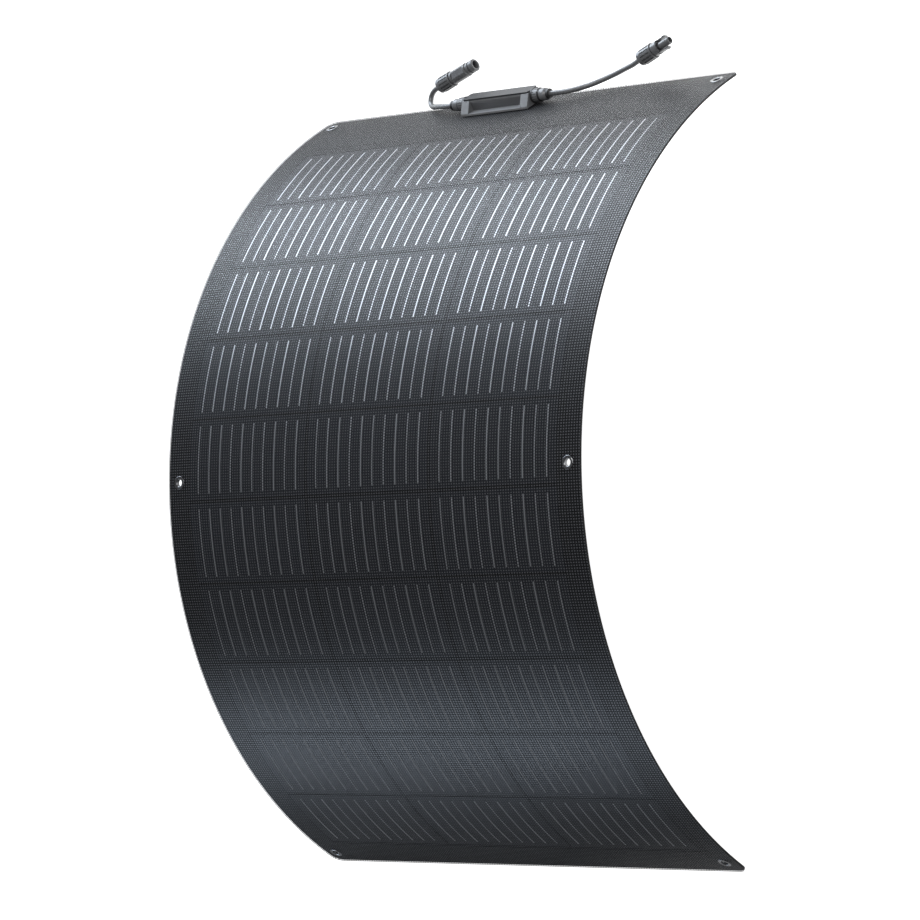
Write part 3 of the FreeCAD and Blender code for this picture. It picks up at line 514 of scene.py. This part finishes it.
piece("film_surface", layer("film_surface", SHEET_RADIUS, FILM_BACK_RADIUS, closed=False),
      "panel", "film", ["front_film"], FILM, EDGE)
piece("encapsulant_core", layer("encapsulant_core", CORE_RADIUS, CORE_BACK_RADIUS),
      "panel", "encapsulant", ["front_encapsulant", "back_encapsulant"], CORE, EDGE, CORE)
piece("fibre_backing", layer("fibre_backing", BACKING_RADIUS, BACK_RADIUS),
      "panel", "backing", ["backing_sheet"], BACKING, EDGE, BACKING)
starts = [FIRST_ROW + i * ROW_PITCH for i in range(ROWS)]
ribbons = []
for name, column in (("left", -1), ("middle", 0), ("right", 1)):
    left = column * COLUMN_PITCH - CELL_WIDTH / 2
    piece(f"cells_{name}",
          strips(f"cells_{name}", [(left, s) for s in starts],
                 CELL_WIDTH, CELL_LENGTH, CELL_RADIUS, CELL_BACK_RADIUS, 24),
          "panel", "cells", [f"solar_cells_{name}"], CELL)
    lefts = [left + RIBBON_INSET - RIBBON_WIDTH / 2 + i * RIBBON_PITCH for i in range(RIBBONS)]
    gap = (CELL_LENGTH - RIBBON_LENGTH) / 2
    ribbons.append(piece(
        f"ribbons_{name}",
        strips(f"ribbons_{name}", [(x, s + gap) for s in starts for x in lefts],
               RIBBON_WIDTH, RIBBON_LENGTH, RIBBON_RADIUS, CELL_RADIUS, 20),
        "panel", "ribbon", [f"cell_ribbons_{name}"], RIBBON))


# ---------------------------------------------------------------- eyelets
def lathed(name, profile, places, sides=56):
    """Closed rings turned from a profile of (radius, lift) pairs, on the sheet at each place."""
    made = bmesh.new()
    for x, start in places:
        outward = (bent(x, start, 1.0) - bent(x, start, 0.0)).normalized()
        across = Vector((1, 0, 0))
        along = outward.cross(across)
        middle = bent(x, start, SHEET_RADIUS)
        rings = []
        for i in range(sides):
            a = 2 * math.pi * i / sides
            spoke = across * math.cos(a) + along * math.sin(a)
            rings.append([made.verts.new(middle + spoke * r + outward * h) for r, h in profile])
        for near, far in zip(rings, rings[1:] + rings[:1]):
            for j in range(len(profile)):
                k = (j + 1) % len(profile)
                made.faces.new((near[j], near[k], far[k], far[j]))
    return finished(made, name, 40.0)


def rounded(corners, radius, steps=4):
    """A closed profile with every corner rounded off."""
    result = []
    count = len(corners)
    for i, corner in enumerate(corners):
        here = Vector(corner)
        before, after = Vector(corners[i - 1]), Vector(corners[(i + 1) % count])
        reach = min(radius, (before - here).length * 0.45, (after - here).length * 0.45)
        first = here + (before - here).normalized() * reach
        last = here + (after - here).normalized() * reach
        for j in range(steps + 1):
            t = j / steps
            result.append(tuple((1 - t) ** 2 * first + 2 * t * (1 - t) * here + t * t * last))
    return result


EYELETS = [(side * EYELET_X, start) for start in EYELET_STARTS for side in (-1, 1)]
flange = rounded([
    (0.0040, -0.0037), (0.0058, -0.0037), (0.0058, -0.0031), (0.0046, -0.0031), (0.0046, 0.0),
    (0.0074, 0.0), (0.0074, 0.0003), (0.0066, 0.0006), (0.0052, 0.0006), (0.0040, 0.0002),
], 0.0003)
piece("eyelet_rings", lathed("eyelet_rings", flange, EYELETS),
      "panel", "eyelet", ["eyelets"], NICKEL)
washer = rounded([(0.0048, -0.0031), (0.0073, -0.0031), (0.0073, -0.0026), (0.0048, -0.0026)],
                 0.00015)
piece("eyelet_back_rings", lathed("eyelet_back_rings", washer, EYELETS),
      "panel", "eyelet", ["eyelet_washers"], NICKEL)


# ---------------------------------------------------------------- moulded edges
def soften(node, width):
    """Real mouldings have small rounded edges, which catch the light."""
    modifier = NODES[node].modifiers.new("rounded_edges", "BEVEL")
    modifier.width = width
    modifier.segments = 2
    modifier.limit_method = "ANGLE"
    modifier.angle_limit = math.radians(40.0)
    modifier.harden_normals = True


soften("junction_box_body", 0.00045)
soften("junction_box_lid", 0.0004)
for side in ("socket", "plug"):
    for part in ("gland_body", "gland_nut", "cap_nut", "housing"):
        soften(f"{side}_{part}", 0.00018)

# painted shade: a dark plate lies in the recess between the two end brackets, below the rim of the
# tub, where the recess is in shade
BOX_X, BOX_START = -0.019, 0.0245
BASE_LIFT, BOX_DEPTH, TUB_FRONT = 0.0008, 0.031, 0.0103
RECESS_SHADE_HALF_WIDTH, RECESS_SHADE_LOW, RECESS_SHADE_HIGH, RECESS_SHADE_CORNER = 0.0387, 0.0023, 0.0125, 0.0012


def on_box(across, along, lift):
    """A point in the junction box's own frame, measured from its front edge and its base."""
    middle = bent(BOX_X, BOX_START, SHEET_RADIUS)
    outward = (bent(0, BOX_START, 1.0) - bent(0, BOX_START, 0.0)).normalized()
    to_edge = outward.cross(Vector((1, 0, 0)))
    return (middle + Vector((across, 0, 0)) + to_edge * (along - BOX_DEPTH / 2)
            + outward * (lift + BASE_LIFT))


def recess_shade_plate_mesh(name):
    """A thin plate with rounded corners, which lies on the front of the tub: painted shade for the
    recess.
    """
    made = bmesh.new()
    rings = []
    for inset, proud in ((0.0, 0.0), (0.0, 0.00015), (0.00012, 0.00025)):
        side, low, high = RECESS_SHADE_HALF_WIDTH - inset, RECESS_SHADE_LOW + inset, RECESS_SHADE_HIGH - inset
        outline = rounded([(-side, low), (side, low), (side, high), (-side, high)],
                          RECESS_SHADE_CORNER, 6)
        rings.append([made.verts.new(on_box(across, TUB_FRONT - proud, lift))
                      for across, lift in outline])
    for near, far in zip(rings, rings[1:]):
        for j in range(len(near)):
            k = (j + 1) % len(near)
            made.faces.new((near[j], near[k], far[k], far[j]))
    made.faces.new(rings[0])
    made.faces.new(rings[-1])
    return finished(made, name, 40.0)


piece("recess_shade_plate", recess_shade_plate_mesh("recess_shade_plate"), "panel", "lid", [], RECESS_SHADE)


# ---------------------------------------------------------------- floor and light
FLOOR_REACH, FLOOR_Z = 30, -0.0003


def floor_material():
    """Plain white to look at, and it glows: its emission lights the scene, more strongly on the
    junction box's side.
    """
    make = Nodes("pale_floor")
    make.colour(make.mix(make.noise(1.5, 2.0), (0.24, 0.24, 0.24), (0.26, 0.26, 0.26)))
    make.set(Roughness=0.9, Emission_Color=(1.0, 1.0, 1.0, 1.0))
    # painted light: the floor glows full white to the camera, and for all other rays its glow grows
    # towards +x and +y
    seen = make.tree.nodes.new("ShaderNodeLightPath").outputs["Is Camera Ray"]
    x, y = make.split(make.coordinates())[:2]
    floor_glow_light = make.spread(make.math("ADD", x, y), 0.05, 2.2, -0.4, 0.9)
    make.link(make.math("MAXIMUM", seen, floor_glow_light), make.shader.inputs["Emission Strength"])
    return make.material


floor_mesh = bpy.data.meshes.new("floor")
floor_mesh.from_pydata([(x * FLOOR_REACH, y * FLOOR_REACH, FLOOR_Z)
                        for x, y in ((-1, -1), (1, -1), (1, 1), (-1, 1))], [], [(0, 1, 2, 3)])
floor_mesh.materials.append(floor_material())
floor = bpy.data.objects.new("floor", floor_mesh)
bpy.context.scene.collection.objects.link(floor)


def softbox(name, place, aim, width, height, radiance, colour=(1.0, 1.0, 1.0)):
    """A rectangular soft light of a given brightness, seen from anywhere in front of it."""
    data = bpy.data.lights.new(name, "AREA")
    data.shape = "RECTANGLE"
    data.size, data.size_y = width, height
    data.energy = radiance * math.pi * width * height
    data.color = colour
    obj = bpy.data.objects.new(name, data)
    bpy.context.scene.collection.objects.link(obj)
    obj.location = place
    obj.rotation_mode = "QUATERNION"
    obj.rotation_quaternion = (Vector(aim) - Vector(place)).to_track_quat("-Z", "Y")
    return obj


softbox("box_side_softbox", (-1.95, 3.03, 1.1), (0, 0.25, 0.1), 2.5, 2.5, 10.4, (0.82, 0.90, 1.0))
softbox("left_fill_softbox", (-3.1, 1.75, 1.0), (0, 0.15, 0.15), 1.3, 2.0, 2.6, (0.74, 0.86, 1.0))
haze = softbox("far_side_softbox", (-2.3, -2.5, 0.85), (0, -0.3, 0.1), 1.6, 1.2, 5.1,
               (0.72, 0.84, 1.0))
softbox("overhead_softbox", (0.9, 1.1, 2.9), (0, 0.1, 0.0), 1.8, 1.8, 6.0)

# the far light only hazes the film: the ribbons under it stay dim at that end
unlit = bpy.data.collections.new("not_lit_from_the_far_side")
haze.light_linking.receiver_collection = unlit
for ribbon in ribbons:
    unlit.objects.link(ribbon)
for member in unlit.collection_objects:
    member.light_linking.link_state = "EXCLUDE"

world = bpy.data.worlds.new("studio")
world.use_nodes = True
background = world.node_tree.nodes["Background"]
background.inputs["Color"].default_value = (0.95, 0.97, 1.0, 1.0)
# beyond the floor's edge the studio is as pale to look at as the floor, though its light is dim
SKY_STRENGTH = 0.25
glow = world.node_tree.nodes.new("ShaderNodeMath")
glow.operation = "MAXIMUM"
glow.inputs[1].default_value = SKY_STRENGTH
sky_seen = world.node_tree.nodes.new("ShaderNodeLightPath").outputs["Is Camera Ray"]
world.node_tree.links.new(sky_seen, glow.inputs[0])
world.node_tree.links.new(glow.outputs[0], background.inputs["Strength"])
bpy.context.scene.world = world
bpy.context.scene.view_settings.view_transform = "Standard"
